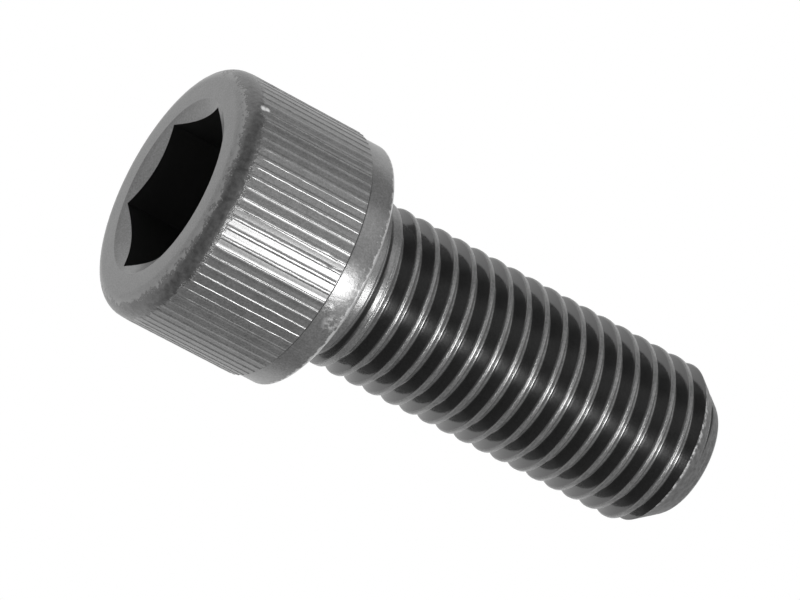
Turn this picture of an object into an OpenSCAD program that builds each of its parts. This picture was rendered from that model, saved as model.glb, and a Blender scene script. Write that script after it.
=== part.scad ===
// Socket head cap screw, standing on its head: the top face of the head lies on z = 0 and the thread points up.
// All sizes are in millimetres.

/* [Head] */
// Diameter over the knurl ridges
head_d = 24; // [22:0.1:30]
// Height from the top face to the bearing face
head_h = 16; // [14:0.1:20]
// Radius of the round edge between the top face and the side
top_edge_r = 1.75; // [0.4:0.05:2.5]
// Height of the plain band between the knurl and the bearing face
band_h = 2.8; // [1:0.1:5]
// Depth of the plain band below the side of the head
band_step = 0.22; // [0.05:0.01:0.5]
// Radius of the round edge between the band and the bearing face
band_edge_r = 0.4; // [0.1:0.05:0.9]

/* [Knurl] */
// Number of ridges round the head
ridge_count = 76; // [40:1:90]
// Height of a ridge above the side of the head
ridge_h = 0.08; // [0.04:0.01:0.2]
// Width of a ridge at its foot
ridge_foot_w = 0.4; // [0.3:0.02:0.6]
// Width of a ridge at its top
ridge_top_w = 0.12; // [0.06:0.02:0.28]
// Angle from a socket corner to the nearest ridge
ridge_angle = 0.5; // [0:0.1:4]

/* [Socket] */
// Width across the flats of the hexagon
socket_af = 14; // [10:0.1:15]
// Depth of the hexagon's flats
socket_depth = 8; // [5:0.1:10]
// Angle of the shallow cone at the bottom of the socket
bottom_angle = 160; // [140:5:170]
// Width of the flat rim left round that cone
bottom_rim_w = 0.3; // [0.1:0.05:1]
// Width of the countersink beyond the hexagon's corners
countersink_w = 0.36; // [0.1:0.02:0.8]
// Angle of the countersink
countersink_angle = 120; // [90:5:130]

/* [Shank] */
// Length from the bearing face to the tip
shank_l = 40; // [25:0.5:60]
// Diameter over the thread's crests
thread_d = 15.8; // [14:0.1:18]
// Distance from one turn of the thread to the next
thread_pitch = 2; // [1:0.25:2.5]
// Angle between the flanks of the thread
flank_angle = 60; // [50:1:60]
// Distance over which the thread runs out below the head
runout_l = 3; // [1.5:0.1:6]
// Radius of the fillet between the shank and the bearing face
neck_fillet_r = 0.6; // [0.2:0.05:0.8]
// Length of the chamfer at the tip
tip_chamfer_l = 3.3; // [1.5:0.1:5]
// Width of the chamfer at the tip
tip_chamfer_w = 2.3; // [1:0.1:3]

/* [Hidden] */

$fn = 96;
steel = [0.30, 0.30, 0.31];

// Length by which joined bodies overlap, and by which a cutting tool passes a face
overlap = 0.5;

// Heights and radii of the turned body
length = head_h + shank_l;
side_r = head_d / 2 - ridge_h;
band_r = side_r - band_step;
band_z = head_h - band_h;
thread_r = thread_d / 2;
tip_r = thread_r - tip_chamfer_w;
neck_r = thread_r + neck_fillet_r;

// Each ridge stops short of the round edge and of the band by its own height
ridge_start_z = top_edge_r + ridge_h;
ridge_end_z = band_z - ridge_h;

// Heights and radii of the socket's cutting tools
corner_r = socket_af / 2 / cos(30);
bottom_r = socket_af / 2 - bottom_rim_w;
bottom_h = bottom_r / tan(bottom_angle / 2);
countersink_r = corner_r + countersink_w;
countersink_h = countersink_r / tan(countersink_angle / 2);
countersink_out_r = countersink_r + overlap * tan(countersink_angle / 2);

// Metric thread form: the depth and the width of a crest follow the pitch
thread_depth = 0.6 * thread_pitch;
crest_w = 0.195 * thread_pitch;
flank_slope = tan(flank_angle / 2);
root_w = thread_pitch - crest_w - 2 * thread_depth * flank_slope;

// The groove is swept in steps, and its open side stands clear of the crests
turn_steps = 36;
groove_clear = 0.1 * thread_pitch;
groove_start_z = head_h + thread_pitch / 2;
groove_end_z = length + thread_pitch;
groove_steps = ceil((groove_end_z - groove_start_z) / thread_pitch * turn_steps);

// Points of an arc about a centre, from one angle to another
function arc_points(centre, radius, from, to, steps = 12) =
    [for (i = [0:steps]) let (a = from + (to - from) * i / steps) centre + radius * [cos(a), sin(a)]];

// Half section of the head without its knurl, as radius and height
function head_section() = concat(
    [[0, 0]],
    arc_points([side_r - top_edge_r, top_edge_r], top_edge_r, -90, 0),
    [[side_r, band_z], [band_r, band_z]],
    arc_points([band_r - band_edge_r, head_h - band_edge_r], band_edge_r, 0, 90),
    [[0, head_h]]
);

// Half section of the shank before it is threaded
function shank_section() = concat(
    [[0, head_h - overlap], [neck_r, head_h - overlap]],
    arc_points([neck_r, head_h + neck_fillet_r], neck_fillet_r, 270, 180),
    [[thread_r, length - tip_chamfer_l], [tip_r, length], [0, length]]
);

// Outline of one ridge, from inside the head out to its top
function ridge_section() =
    let (
        foot = ridge_foot_w / 2,
        top = ridge_top_w / 2,
        foot_x = sqrt(side_r * side_r - foot * foot)
    )
    [[side_r - overlap, -foot], [foot_x, -foot], [head_d / 2, -top],
        [head_d / 2, top], [foot_x, foot], [side_r - overlap, foot]];

// The groove deepens over the run-out, starting clear of the shank
function groove_depth(z) =
    min(thread_depth, (thread_depth + groove_clear) * (z - groove_start_z) / runout_l - groove_clear);

// The groove's four corners in space at one step
function groove_corners(step) =
    let (
        a = 360 * step / turn_steps,
        z = groove_start_z + thread_pitch * step / turn_steps,
        depth = groove_depth(z),
        root_r = thread_r - depth,
        open_r = thread_r + groove_clear,
        root = root_w / 2,
        open = root + (open_r - root_r) * flank_slope
    )
    [for (p = [[root_r, -root], [open_r, -open], [open_r, open], [root_r, root]])
        [p[0] * cos(a), p[0] * sin(a), z + p[1]]];

module thread_groove() {
    points = [for (step = [0:groove_steps]) each groove_corners(step)];
    sides = [for (step = [0:groove_steps - 1], k = [0:3]) each
        let (a = 4 * step + k, b = 4 * step + (k + 1) % 4)
        [[a, b, b + 4], [a, b + 4, a + 4]]];
    last = 4 * groove_steps;
    ends = [[0, 3, 2], [0, 2, 1], [last, last + 1, last + 2], [last, last + 2, last + 3]];
    polyhedron(points, concat(sides, ends));
}

module knurl_ridge() {
    translate([0, 0, ridge_start_z])
        linear_extrude(ridge_end_z - ridge_start_z)
            polygon(ridge_section());
}

module head() {
    rotate_extrude() polygon(head_section());
    for (i = [0:ridge_count - 1])
        rotate([0, 0, ridge_angle + 360 * i / ridge_count]) knurl_ridge();
}

module shank() {
    rotate_extrude() polygon(shank_section());
}

module socket_tool() {
    translate([0, 0, -overlap]) {
        cylinder(h = overlap + socket_depth, r = corner_r, $fn = 6);
        cylinder(h = overlap + countersink_h, r1 = countersink_out_r, r2 = 0);
    }
    translate([0, 0, socket_depth]) cylinder(h = bottom_h, r1 = bottom_r, r2 = 0);
}

module screw() {
    color(steel) difference() {
        union() {
            head();
            shank();
        }
        socket_tool();
        thread_groove();
    }
}

screw();
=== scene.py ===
import math

import bmesh
import bpy
from mathutils import Matrix, Vector, noise


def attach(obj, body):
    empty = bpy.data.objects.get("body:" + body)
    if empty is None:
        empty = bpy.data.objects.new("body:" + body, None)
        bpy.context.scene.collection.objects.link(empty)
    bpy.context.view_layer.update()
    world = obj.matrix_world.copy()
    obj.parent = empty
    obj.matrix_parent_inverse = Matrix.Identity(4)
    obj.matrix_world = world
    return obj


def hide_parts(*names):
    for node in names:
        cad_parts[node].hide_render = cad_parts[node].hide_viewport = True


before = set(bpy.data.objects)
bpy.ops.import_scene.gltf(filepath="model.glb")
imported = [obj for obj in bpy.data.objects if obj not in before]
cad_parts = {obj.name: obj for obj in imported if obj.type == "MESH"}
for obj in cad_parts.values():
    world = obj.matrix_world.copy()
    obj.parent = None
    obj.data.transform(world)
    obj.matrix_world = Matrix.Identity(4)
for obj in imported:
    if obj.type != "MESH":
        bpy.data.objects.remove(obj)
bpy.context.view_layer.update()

# Camera. A long lens looks up at the head's top face from 23 degrees below the bench, and is rolled so
# that the screw lies across the picture from the upper left to the lower right.
mm = 0.001
camera_azimuth = math.radians(-97.68)
camera_elevation = math.radians(-23.37)
camera_roll = math.radians(27.95)
face_in_view = Vector((-20.042, 9.898, -523.78)) * mm
sensor_w, focal_length = 36, 272.06
nearest, farthest = 0.01, 10


def way_to(azimuth, elevation):
    level_part = math.cos(elevation)
    return Vector((math.cos(azimuth) * level_part, math.sin(azimuth) * level_part, math.sin(elevation)))


to_camera = way_to(camera_azimuth, camera_elevation)
axis_seen = (Vector((0, 0, 1)) - to_camera * to_camera.z).normalized()
across_seen = to_camera.cross(axis_seen)
right = axis_seen * math.cos(camera_roll) + across_seen * math.sin(camera_roll)
up = to_camera.cross(right)
turn = Matrix((right, up, to_camera)).transposed()

bpy.ops.object.select_all(action="DESELECT")
bpy.ops.object.camera_add()
camera = bpy.context.object
camera.name = "camera"
camera.matrix_world = Matrix.Translation(-(turn @ face_in_view)) @ turn.to_4x4()
camera.data.sensor_width = sensor_w
camera.data.lens = focal_length
camera.data.clip_start = nearest
camera.data.clip_end = farthest
bpy.context.scene.camera = camera
bpy.context.scene.view_settings.view_transform = "Standard"

# Bench. A pale, matt, level top just under the head's top face. It shows only from above, so that the
# head can be seen from below, and light reaches the face that stands on it.
bench_w, bench_gap = 1.6, 0.02 * mm
bench_white = (0.9, 0.9, 0.9, 1)


def add_node(tree, kind, links=(), **settings):
    made = tree.nodes.new(kind)
    for name, value in settings.items():
        setattr(made, name, value)
    for socket, source in dict(links).items():
        if isinstance(source, bpy.types.NodeSocket):
            tree.links.new(source, made.inputs[socket])
        else:
            made.inputs[socket].default_value = source
    return made


def new_material(name):
    made = bpy.data.materials.new(name)
    made.use_nodes = True
    made.node_tree.nodes.clear()
    return made


bpy.ops.object.select_all(action="DESELECT")
bpy.ops.mesh.primitive_plane_add(size=bench_w, location=(0, 0, -bench_gap))
bench = bpy.context.object
bench.name = "bench"
pale_top = new_material("pale_bench_top")
tree = pale_top.node_tree
matt = add_node(tree, "ShaderNodeBsdfDiffuse", {"Color": bench_white})
clear = add_node(tree, "ShaderNodeBsdfTransparent")
path = add_node(tree, "ShaderNodeLightPath")
side = add_node(tree, "ShaderNodeNewGeometry")
above = add_node(tree, "ShaderNodeMath", {0: 1.0, 1: side.outputs["Backfacing"]}, operation="SUBTRACT")
shown = add_node(tree, "ShaderNodeMath", {
    0: path.outputs["Is Camera Ray"], 1: above.outputs[0]}, operation="MULTIPLY")
mixed = add_node(tree, "ShaderNodeMixShader", {0: shown.outputs[0], 1: clear.outputs[0], 2: matt.outputs[0]})
add_node(tree, "ShaderNodeOutputMaterial", {"Surface": mixed.outputs[0]})
bench.data.materials.append(pale_top)

# Studio light. White paper lies behind and under the screw, and the room before it is dim. One bright
# soft lamp hangs on the camera's side, over the thread, and a faint one stands to the left of it.
room_elevation = math.radians(19)
paper_edge, paper_soft = math.cos(math.radians(101.5)), 0.03
room_level = 0.24
lamp_distance = 420 * mm
lamp_aim = Vector((0, 0, 28 * mm))
lamp_elevation = math.radians(24)
long_azimuth = camera_azimuth + math.radians(6)
long_size, long_level = (78 * mm, 130 * mm), 42
faint_azimuth = camera_azimuth - math.radians(50)
faint_size, faint_level = (260 * mm, 260 * mm), 1.1

world = bpy.data.worlds.new("studio")
world.use_nodes = True
bpy.context.scene.world = world
tree = world.node_tree
tree.nodes.clear()
ray = add_node(tree, "ShaderNodeTexCoord")
towards_room = add_node(tree, "ShaderNodeVectorMath", {
    0: ray.outputs["Generated"], 1: way_to(camera_azimuth, room_elevation)}, operation="DOT_PRODUCT")
level = add_node(tree, "ShaderNodeMapRange", {
    "Value": towards_room.outputs["Value"],
    "From Min": paper_edge + paper_soft, "From Max": paper_edge - paper_soft,
    "To Min": room_level, "To Max": 1.0,
}, interpolation_type="SMOOTHSTEP")
path = add_node(tree, "ShaderNodeLightPath")
strength = add_node(tree, "ShaderNodeMath", {
    0: level.outputs[0], 1: path.outputs["Is Camera Ray"]}, operation="MAXIMUM")
paper = add_node(tree, "ShaderNodeBackground", {"Color": (1, 1, 1, 1), "Strength": strength.outputs[0]})
add_node(tree, "ShaderNodeOutputWorld", {"Surface": paper.outputs[0]})


def hang_lamp(name, azimuth, size, level):
    way = way_to(azimuth, lamp_elevation)
    bpy.ops.object.light_add(type="AREA", location=lamp_aim + way * lamp_distance)
    lamp = bpy.context.object
    lamp.name = name
    lamp.rotation_mode = "QUATERNION"
    lamp.rotation_quaternion = way.to_track_quat("Z", "Y")
    lamp.data.shape = "RECTANGLE"
    lamp.data.size, lamp.data.size_y = size
    lamp.data.energy = level * math.pi * size[0] * size[1]
    lamp.visible_camera = False


hang_lamp("long_lamp", long_azimuth, long_size, long_level)
hang_lamp("faint_lamp", faint_azimuth, faint_size, faint_level)

# Head. Forged and turned from one bar of steel with the shank: a flat top face with a well-rounded
# edge, a side for the knurl, a narrow groove, a plain band and a bearing face with a fillet at the neck.
side_r, band_r = 11.92 * mm, 11.7 * mm
band_z, head_h = 13.2 * mm, 16 * mm
groove_w, groove_depth = 0.2 * mm, 0.14 * mm
rim_form = [(0, 0.4), (0.04, 0.31), (0.11, 0.24), (0.45, 0.015), (0.55, 0)]
top_edge_r, top_edge_steps = 1.75 * mm, 10
thread_r = 7.9 * mm
neck_fillet_r, neck_fillet_steps = 0.6 * mm, 6
neck_inset = 0.3 * mm
head_steps = 240
same_place, on_line = 0.001 * mm, 0.01 * mm


def draw_line(name, points):
    bpy.ops.object.select_all(action="DESELECT")
    bpy.ops.mesh.primitive_plane_add(size=mm)
    made = bpy.context.object
    made.name = name
    made.data.name = name
    bpy.ops.object.mode_set(mode="EDIT")
    bpy.ops.mesh.select_mode(type="VERT")
    bpy.ops.mesh.select_all(action="SELECT")
    bpy.ops.mesh.merge(type="CENTER")
    bpy.ops.transform.translate(value=points[0])
    for here, there in zip(points, points[1:]):
        step = tuple(after - before for before, after in zip(here, there))
        bpy.ops.mesh.extrude_region_move(TRANSFORM_OT_translate={"value": step})
    join_doubles()
    return made


def join_doubles():
    bpy.ops.mesh.select_all(action="SELECT")
    bpy.ops.mesh.remove_doubles(threshold=same_place)


def close_up():
    join_doubles()
    bpy.ops.mesh.normals_make_consistent(inside=False)
    bpy.ops.object.mode_set(mode="OBJECT")


def turned(name, section, steps):
    made = draw_line(name, [(r, 0, z) for r, z in section])
    bpy.ops.mesh.spin(steps=steps, angle=math.tau, center=(0, 0, 0), axis=(0, 0, 1))
    close_up()
    return made


def round_edge(piece, radius, height, width, segments):
    bpy.context.view_layer.objects.active = piece
    bpy.ops.object.mode_set(mode="EDIT")
    bpy.ops.mesh.select_mode(type="EDGE")
    bpy.ops.mesh.select_all(action="DESELECT")
    shape = bmesh.from_edit_mesh(piece.data)
    for edge in shape.edges:
        edge.select_set(all(
            abs(v.co.z - height) < on_line and abs(v.co.xy.length - radius) < on_line for v in edge.verts))
    bmesh.update_edit_mesh(piece.data)
    bpy.ops.mesh.bevel(offset=width, segments=segments, affect="EDGES")
    bpy.ops.object.mode_set(mode="OBJECT")


rim = [(band_r - inward * mm, head_h - below * mm) for inward, below in rim_form]
bends = [math.pi / 2 * step / neck_fillet_steps for step in range(neck_fillet_steps + 1)]
neck = [
    (thread_r + neck_fillet_r * (1 - math.sin(bend)), head_h + neck_fillet_r * (1 - math.cos(bend)))
    for bend in bends]
head = turned("screw", [
    (0, 0), (side_r, 0), (side_r, band_z), (band_r - groove_depth, band_z), (band_r, band_z + groove_w),
    *rim, *neck, (thread_r - neck_inset, head_h + neck_fillet_r), (0, head_h + neck_fillet_r),
], head_steps)
round_edge(head, side_r, 0, top_edge_r, top_edge_steps)

# Knurl. Seventy-six fine ridges rolled along the side. Each has a flat back and soft flanks, a little
# ragged where the roll has squeezed the metal up, and small dents mark a few of them.
ridge_count, ridge_turn = 76, math.radians(0.5)
ridge_w, ridge_depth = 0.36 * mm, 0.5 * mm
ridge_start, ridge_end, ridge_steps = 1.7 * mm, 13.17 * mm, 36
ridge_form = [(0.18, -0.004), (0.163, 0.006), (0.142, 0.02), (0.12, 0.036), (0.098, 0.048), (0.05, 0.052)]
ridge_apart = 7.3
rise_l, rise_swing, rise_curve, rise_row = 0.7 * mm, 0.8 * mm, 0.7, 5
skin = 0.1 * mm
wander, wander_scale, wander_from = 0.022 * mm, 0.9, Vector((9, 0, 0))
ripple_scale, ripple_share = 3.7, 0.9
wear, wear_mean = 0.35, 0.5
wear_scale, wear_swing = 1.9, 0.5
pit_scale, pit_swing = 4.3, 0.4
dent_depth, dent_reach = 0.08 * mm, 2
dents = [
    (-102.3, 11.25, 0.3), (-98.9, 11.55, 0.32), (-101, 11.8, 0.25), (-152.2, 1.75, 0.25), (-152.6, 2.2, 0.22)]


def combine(piece, other, how):
    bpy.ops.object.select_all(action="DESELECT")
    piece.select_set(True)
    bpy.context.view_layer.objects.active = piece
    cut = piece.modifiers.new(how.lower(), "BOOLEAN")
    cut.operation = how
    cut.solver = "MANIFOLD"
    cut.object = other
    bpy.ops.object.modifier_apply(modifier=cut.name)
    bpy.data.objects.remove(other)


section = [
    (side_r - ridge_depth, -ridge_w / 2),
    *[(side_r + h * mm, -y * mm) for y, h in ridge_form],
    *[(side_r + h * mm, y * mm) for y, h in reversed(ridge_form)],
    (side_r - ridge_depth, ridge_w / 2)]
ridge = draw_line("ridge", [(x, y, ridge_start) for x, y in section + section[:1]])
bpy.ops.mesh.edge_face_add()
for step in range(ridge_steps):
    bpy.ops.mesh.extrude_region_move(
        TRANSFORM_OT_translate={"value": (0, 0, (ridge_end - ridge_start) / ridge_steps)})
close_up()

ridges = []
for count in range(ridge_count):
    copy = ridge.copy()
    copy.data = ridge.data.copy()
    bpy.context.collection.objects.link(copy)
    rise = rise_l + rise_swing * noise.noise(Vector((count * ridge_apart, rise_row, rise_row)))
    for vert in copy.data.vertices:
        spot = Vector((vert.co.y / mm, count * ridge_apart, vert.co.z / mm))
        if vert.co.x > side_r - skin:
            sway = noise.noise(spot * wander_scale + wander_from)
            vert.co.y += wander * (sway + ripple_share * noise.noise(spot * ripple_scale))
        if vert.co.x > side_r:
            rubbed = wear_mean + wear_swing * noise.noise(spot * wear_scale)
            rubbed += pit_swing * noise.noise(spot * pit_scale)
            risen = min(1, max(0, vert.co.z - ridge_start) / rise) ** rise_curve
            vert.co.x = side_r + (vert.co.x - side_r) * (1 - wear * min(1, max(0, rubbed))) * risen
    copy.data.transform(Matrix.Rotation(ridge_turn + math.tau * count / ridge_count, 4, "Z"))
    ridges.append(copy)
bpy.data.objects.remove(ridge)
bpy.ops.object.select_all(action="DESELECT")
for copy in ridges:
    copy.select_set(True)
bpy.context.view_layer.objects.active = ridges[0]
bpy.ops.object.join()
combine(head, ridges[0], "UNION")

for dent_angle, dent_z, dent_w in dents:
    way = math.radians(dent_angle)
    middle = Vector((side_r * math.cos(way), side_r * math.sin(way), dent_z * mm))
    for vert in head.data.vertices:
        near = (vert.co - middle).length / (dent_w * mm)
        if near < dent_reach:
            vert.co.xy *= 1 - dent_depth * math.exp(-near * near) / vert.co.xy.length

# Thread. Rolled into the shank, right-hand, 2 mm from turn to turn: straight flanks, a rounded root and
# nearly flat crests with small round shoulders. It runs out at the neck and ends in the tip's chamfer.
length = 56 * mm
pitch, thread_depth = 2 * mm, 1.2 * mm
thread_form = [
    (6.65, -1), (6.66, -0.93), (6.7, -0.875), (6.78, -0.825), (6.9, -0.762), (7.1, -0.648), (7.35, -0.51),
    (7.55, -0.4), (7.68, -0.332), (7.78, -0.278), (7.85, -0.23), (7.886, -0.19), (7.9, -0.14), (7.895, -0.06),
    (7.888, 0), (7.892, 0.07), (7.886, 0.13), (7.86, 0.175), (7.8, 0.225), (7.68, 0.3), (7.55, 0.375),
    (7.35, 0.49), (7.1, 0.635), (6.9, 0.75), (6.78, 0.82), (6.7, 0.875), (6.66, 0.93), (6.65, 1)]
turns, turn_steps = 22, 96
first_z, shank_z = head_h - pitch, head_h - 0.4 * mm
flat_cut, last_bit = 1e-7, 1e-6
core_r = 1 * mm
runout_from, runout_to = 18.1 * mm, 19.3 * mm
tip_chamfer_l, tip_chamfer_w = 3.3 * mm, 2.3 * mm
chamfer_slope = tip_chamfer_w / tip_chamfer_l
fill_from, fill_l, fill_over = 53.1 * mm, 0.3 * mm, 0.05 * mm
tool_start_z, overcut, tool_steps = head_h - 1 * mm, 0.5 * mm, 192
tip_line_z, tip_line_w, tip_line_depth = 54.4 * mm, 0.17 * mm, 0.17 * mm
tip_line_deepest = math.radians(-180)
tip_rings = [-0.4, -0.24, -0.12, 0, 0.12, 0.24, 0.4]
tip_edge_h = 0.35 * mm
tip_edge_form = [(0.07, 0.15), (-0.1, 0)]


def chamfer_at(z):
    return thread_r - (z - length + tip_chamfer_l) * chamfer_slope


shank = draw_line("shank", [(r * mm, 0, first_z + z * mm) for r, z in thread_form])
bpy.ops.object.mode_set(mode="OBJECT")
wind = shank.modifiers.new("wind", "SCREW")
wind.axis = "Z"
wind.angle = math.tau
wind.screw_offset = pitch
wind.iterations = turns
wind.steps = turn_steps
wind.render_steps = turn_steps
bpy.ops.object.modifier_apply(modifier=wind.name)
bpy.ops.object.mode_set(mode="EDIT")
join_doubles()
for cut_z, outwards in ((shank_z, -1), (length, 1)):
    bpy.ops.mesh.select_all(action="SELECT")
    bpy.ops.mesh.bisect(
        plane_co=(0, 0, cut_z), plane_no=(0, 0, outwards), use_fill=True, clear_outer=True,
        threshold=flat_cut)
close_up()
for vert in shank.data.vertices:
    r = vert.co.xy.length
    if r > core_r:
        twist = math.atan2(vert.co.y, vert.co.x) / math.tau
        turns_up = math.floor((vert.co.z - first_z) / pitch - twist + last_bit)
        groove_z = first_z + pitch * (turns_up + 0.5 + twist)
        shallow = min(1, max(0, (runout_to - groove_z) / (runout_to - runout_from)))
        new_r = min(thread_r, r + thread_depth * shallow)
        filled = min(1, max(0, groove_z - fill_from) / fill_l)
        full_r = min(thread_r, chamfer_at(vert.co.z)) + fill_over
        if new_r < full_r:
            new_r = new_r * (1 - filled) + full_r * filled
        vert.co.xy *= new_r / r

chamfer_from = length - tip_chamfer_l - overcut / chamfer_slope
chamfer_zs = [chamfer_from, *[tip_line_z + ring * mm for ring in tip_rings], length - tip_edge_h]
tip = turned("tip", [
    (0, tool_start_z), (thread_r + overcut, tool_start_z), *[(chamfer_at(z), z) for z in chamfer_zs],
    *[(thread_r - tip_chamfer_w + out * mm, length - below * mm) for out, below in tip_edge_form],
    (0, length),
], tool_steps)
for vert in tip.data.vertices:
    r = vert.co.xy.length
    if r > core_r:
        near = (vert.co.z - tip_line_z) / tip_line_w
        turned_by = math.atan2(vert.co.y, vert.co.x) - tip_line_deepest
        vert.co.xy *= 1 - tip_line_depth * math.exp(-near * near) * max(0, math.cos(turned_by)) / r
combine(shank, tip, "INTERSECT")
combine(head, shank, "UNION")

# Socket. Punched into the head: a hexagon of 14 mm across its flats, with a small countersink at its
# mouth and a shallow cone at its bottom. Then the screw's surface is smoothed, except over sharp edges.
socket_af, socket_depth = 14 * mm, 8 * mm
hexagon_half = math.radians(30)
countersink_w, bottom_rim_w = 0.36 * mm, 0.3 * mm
countersink_half, bottom_half = math.radians(60), math.radians(80)
countersink_steps, bottom_steps = 192, 96
corner_r = socket_af / 2 / math.cos(hexagon_half)
bottom_r = socket_af / 2 - bottom_rim_w
sink_r = corner_r + countersink_w
lead = 0.5 * mm
smooth_angle = math.radians(30)

bpy.ops.object.select_all(action="DESELECT")
bpy.ops.mesh.primitive_cylinder_add(
    vertices=6, radius=corner_r, depth=socket_depth + lead, location=(0, 0, (socket_depth - lead) / 2),
    rotation=(0, 0, hexagon_half))
punch = bpy.context.object
bpy.ops.object.transform_apply(location=True, rotation=True, scale=True)
combine(head, punch, "DIFFERENCE")
bottom = turned("bottom", [
    (0, socket_depth - lead), (bottom_r, socket_depth - lead), (bottom_r, socket_depth),
    (0, socket_depth + bottom_r / math.tan(bottom_half)),
], bottom_steps)
combine(head, bottom, "DIFFERENCE")
sink = turned("sink", [
    (0, -lead), (sink_r + lead * math.tan(countersink_half), -lead), (0, sink_r / math.tan(countersink_half)),
], countersink_steps)
combine(head, sink, "DIFFERENCE")

bpy.ops.object.select_all(action="DESELECT")
head.select_set(True)
bpy.context.view_layer.objects.active = head
bpy.ops.object.shade_smooth_by_angle(angle=smooth_angle)

# Black oxide. The steel is dark grey and slightly glossy all over. The head's rounded top edge is painted
# lighter, a painted highlight. Wear shows on the band and its rim, on the lit side the band also carries a
# painted highlight, and the crests of that side have worn relief. The chamfer's cut crests on that side are
# lighter, cut metal with a painted highlight. The flanks that face the head and the inside of the socket
# are painted near black, a painted shade.
grain_form, ragged_form, blotch_form = (6.0, 5.0, 0.6), (2.2, 6.0, 0.65), (0.8, 6.0, 0.6)
streak_stretch, streak_form = (3.2, 3.2, 0.7), (1.0, 4.0, 0.5)
# The side that faces the camera and the lamp: painted highlights go there, and worn relief on the crests.
lit_and_worn_side = math.radians(-97.7)

# In each pair a region begins at the first number and is full at the second. They are millimetres of
# height or radius, turns of the thread for the flank and the lip, the cosine of the angle to the side that
# faces the camera and the lamp, or a level of the noise.
lit_and_worn_facing = (0.8, 0.93)
shank_from, neck_until = (16.2, 16.6), (19.3, 18.9)
flank_inside, flank_round = (7.84, 7.7), (0.51, 0.57)
crest_outside = (7.7, 7.8)
lip_from, lip_until = (0.87, 0.89), (0.998, 0.97)
tip_from, tip_outside = (52.65, 52.75), (44.58, 44.61)
cut_until, cut_streaks, cut_facing = (53.6, 53.2), (0.45, 0.6), (0.5, 0.9)
end_from = (55.9, 55.95)
sink_beyond, socket_inside, socket_until = (4.89, 4.93), (8.3, 8.2), (14, 13)
head_until, head_outside = (16.1, 16.0), (9.5, 9.6)
face_until = (0.3, 0.1)
edge_from, edge_until = (0.02, 0.3), (1.6, 1.2)
strip_from, strip_until = (0.26, 0.36), (1.92, 1.7)
band_from, band_patch_levels, band_more_from = (13.25, 13.35), (0.7, 0.78), (14.2, 15.9)
rim_outside, rim_from = (11.2, 11.4), (15.95, 16.05)
scuff_wear = (0.46, 0.58)
mottle_range, strip_range, tip_range = (0.33, 0.67), (0.35, 0.65), (0.3, 0.7)

# The noise makes the borders ragged by these shares. A nick or a scuff has its angle, radius, height and
# size, and is full within a share of that size.
strip_ragged, strip_mottled, strip_shift = 1.2, 0.9, 1.5
band_more, rim_ragged = 0.22, 0.9
grain_share, blotch_share = 0.75, 0.25
sink_slope = 0.5774
nicks = [(-152.2, 11.9, 1.75, 0.38), (-152.5, 11.9, 2.15, 0.34)]
scuffs = [(-77.7, 11.7, 14.9, 0.95), (-83.2, 11.7, 13.9, 0.6)]
spot_core = 0.4

steel_tone, face_share = (0.08, 0.21), 0.84
# The edge tone is a painted highlight on the head's rounded top edge.
edge_highlight_tone, strip_tone = 0.24, (0.04, 0.11)
# The band tone is partly ragged wear and partly a painted highlight on the side facing camera and lamp.
band_rubbing_and_highlight_tone, rim_tone, scuff_tone, nick_tone = 0.38, 0.5, 0.42, 0.9
# The flank tone is painted shade, near black, in the grooves of the thread.
flank_shade_tone, tip_tone, cut_highlight_tone = 0.015, (0.05, 0.15), 0.6
# The socket tone is painted shade, near black, inside the socket.
end_tone, socket_shade_tone = 0.1, 0.02
head_rough, crest_rough, flank_rough, neck_rough, tip_rough = 0.31, 0.27, 0.13, 0.34, 0.55
plain_grain, crest_grain, lip_grain = 0.1, 0.7, 2.0
plain_pits, band_pits, strip_pits = 0.08, 0.6, 1.4
relief_h = 0.03 * mm
steel_metal, steel_ior = 0.2, 2.0

steel = new_material("black_oxide_steel")
tree = steel.node_tree
place = add_node(tree, "ShaderNodeTexCoord")
in_mm = add_node(tree, "ShaderNodeVectorMath", {
    0: place.outputs["Object"], "Scale": 1 / mm}, operation="SCALE").outputs[0]
parts = add_node(tree, "ShaderNodeSeparateXYZ", {0: in_mm})
flat = add_node(tree, "ShaderNodeVectorMath", {0: in_mm, 1: (1, 1, 0)}, operation="MULTIPLY")
radius = add_node(tree, "ShaderNodeVectorMath", {0: flat.outputs[0]}, operation="LENGTH").outputs["Value"]
height = parts.outputs["Z"]


def math_node(how, a, b=0.0):
    return add_node(tree, "ShaderNodeMath", {0: a, 1: b}, operation=how).outputs[0]


def total(first, *others):
    for other in others:
        first = math_node("ADD", first, other)
    return first


def product(first, *others):
    for other in others:
        first = math_node("MULTIPLY", first, other)
    return first


def ramp(value, low, high, start=0.0, end=1.0):
    return add_node(tree, "ShaderNodeMapRange", {
        "Value": value, "From Min": low, "From Max": high, "To Min": start, "To Max": end}).outputs[0]


def mix_value(share, a, b):
    return add_node(tree, "ShaderNodeMix", {"Factor": share, 2: a, 3: b}).outputs[0]


def spots(vector, scale, detail, rough):
    return add_node(tree, "ShaderNodeTexNoise", {
        "Vector": vector, "Scale": scale, "Detail": detail, "Roughness": rough}).outputs[0]


def spot_at(angle, place_r, place_z, size):
    way = math.radians(angle)
    there = (place_r * math.cos(way), place_r * math.sin(way), place_z)
    far = add_node(tree, "ShaderNodeVectorMath", {0: in_mm, 1: there}, operation="DISTANCE")
    return ramp(far.outputs["Value"], size, size * spot_core)


grain = spots(in_mm, *grain_form)
ragged = spots(in_mm, *ragged_form)
blotch = spots(in_mm, *blotch_form)
streaks = add_node(tree, "ShaderNodeVectorMath", {0: in_mm, 1: streak_stretch}, operation="MULTIPLY")
streaked = spots(streaks.outputs[0], *streak_form)

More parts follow.
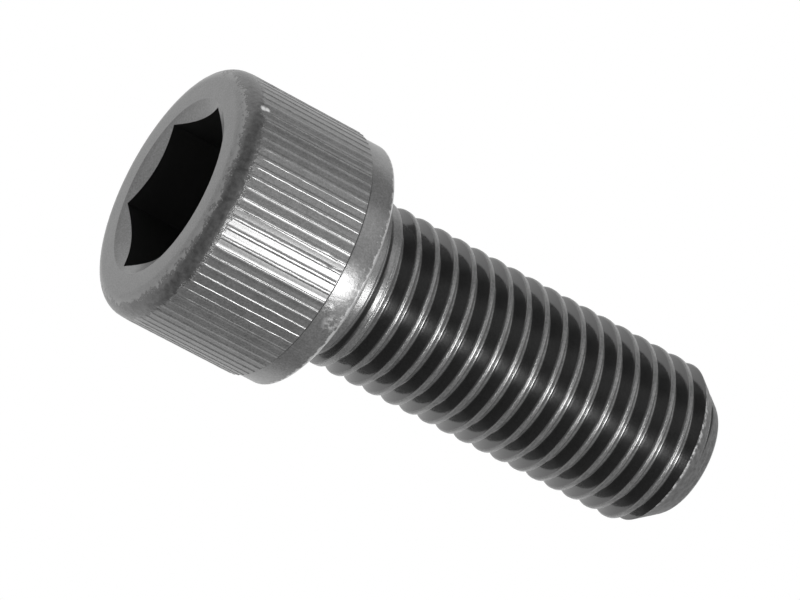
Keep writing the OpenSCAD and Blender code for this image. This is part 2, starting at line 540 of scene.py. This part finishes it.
# How far a place faces the side of the camera and the lamp, where the band and the cut crests get a
# painted highlight and the crests' lips have worn relief, and how far it lies round one turn of the thread
facing = add_node(tree, "ShaderNodeVectorMath", {
    0: in_mm, 1: (math.cos(lit_and_worn_side), math.sin(lit_and_worn_side), 0)}, operation="DOT_PRODUCT")
facing = math_node("DIVIDE", facing.outputs["Value"], radius)
lit_and_worn = ramp(facing, *lit_and_worn_facing)
round_turn = math_node("DIVIDE", math_node("ARCTAN2", parts.outputs["Y"], parts.outputs["X"]), math.tau)
wind_turn = math_node("FRACT", math_node("SUBTRACT", math_node("DIVIDE", height, pitch / mm), round_turn))

# Shank
on_shank = ramp(height, *shank_from)
on_neck = product(on_shank, ramp(height, *neck_until))
on_crest = product(on_shank, ramp(radius, *crest_outside))
on_lip = product(on_shank, ramp(wind_turn, *lip_from), ramp(wind_turn, *lip_until))
# Flanks of the thread that face the head. Their tone is painted shade, near black, where little light falls.
on_flank = product(on_shank, ramp(radius, *flank_inside), ramp(wind_turn, *flank_round))
chamfer_cone = total(radius, product(height, chamfer_slope))
on_chamfer = product(ramp(height, *tip_from), ramp(chamfer_cone, *tip_outside))
# Light streaks on the chamfer's cut crests: cut metal, but kept to the side facing camera and lamp, so partly
# a painted highlight.
cut_crest = product(
    on_chamfer, ramp(height, *cut_until), ramp(streaked, *cut_streaks), ramp(facing, *cut_facing))
on_end = ramp(height, *end_from)

# Head
sink_cone = total(height, product(radius, sink_slope))
# Inside of the socket. Its tone is painted shade for the recess.
in_socket = product(ramp(sink_cone, *sink_beyond), ramp(radius, *socket_inside), ramp(height, *socket_until))
on_head = product(ramp(height, *head_until), ramp(radius, *head_outside))
on_face = ramp(height, *face_until)
# Painted highlight: the rounded top edge of the head gets a lighter tone, standing in for light on it.
painted_edge_highlight = product(on_head, ramp(height, *edge_from), ramp(height, *edge_until))
wave = total(product(ragged, strip_ragged), product(total(blotch, grain), strip_mottled))
strip_z = total(height, math_node("SUBTRACT", wave, strip_shift))
on_strip = product(on_head, ramp(strip_z, *strip_from), ramp(strip_z, *strip_until))
on_band = product(on_head, ramp(height, *band_from))
# Painted highlight: the band's lighter patches grow on the lower part of the side facing camera and lamp;
# elsewhere they are ragged wear.
band_lit_highlight = product(lit_and_worn, ramp(height, *band_more_from, 0.0, band_more))
band_rubbing_and_highlight = product(on_band, ramp(total(ragged, band_lit_highlight), *band_patch_levels))
rim_z = total(height, product(ragged, rim_ragged))
rim_worn = product(on_band, ramp(radius, *rim_outside), ramp(rim_z, *rim_from))
nick = math_node("MAXIMUM", *[spot_at(*spot) for spot in nicks])
scuff = math_node("MAXIMUM", *[spot_at(*spot) for spot in scuffs])
scuffed = product(scuff, ramp(ragged, *scuff_wear))

# Tone, first all over and then region by region
mottled = total(product(grain, grain_share), product(blotch, blotch_share))
tone = product(ramp(mottled, *mottle_range, *steel_tone), mix_value(on_face, 1.0, face_share))
for share, region_tone in (
        (painted_edge_highlight, edge_highlight_tone), (on_strip, ramp(ragged, *strip_range, *strip_tone)),
        (band_rubbing_and_highlight, band_rubbing_and_highlight_tone), (rim_worn, rim_tone), (scuffed, scuff_tone), (nick, nick_tone),
        (on_flank, flank_shade_tone), (on_chamfer, ramp(ragged, *tip_range, *tip_tone)),
        (cut_crest, cut_highlight_tone), (on_end, end_tone), (in_socket, socket_shade_tone)):
    tone = mix_value(share, tone, region_tone)
colour = add_node(tree, "ShaderNodeCombineColor", {0: tone, 1: tone, 2: tone})

# Gloss and relief
rough = mix_value(on_shank, head_rough, mix_value(on_flank, crest_rough, flank_rough))
rough = mix_value(on_neck, rough, neck_rough)
rough = mix_value(on_chamfer, rough, tip_rough)
fine = mix_value(product(on_lip, lit_and_worn), mix_value(on_crest, plain_grain, crest_grain), lip_grain)
coarse = mix_value(total(on_strip, scuff), mix_value(on_band, plain_pits, band_pits), strip_pits)
relief = total(product(grain, fine), product(ragged, coarse))
bump = add_node(tree, "ShaderNodeBump", {"Strength": 1.0, "Distance": relief_h, "Height": relief})
shader = add_node(tree, "ShaderNodeBsdfPrincipled", {
    "Base Color": colour.outputs[0], "Metallic": steel_metal, "IOR": steel_ior, "Roughness": rough,
    "Normal": bump.outputs[0]})
add_node(tree, "ShaderNodeOutputMaterial", {"Surface": shader.outputs[0]})
head.data.materials.clear()
head.data.materials.append(steel)
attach(head, "root")
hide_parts("screw")
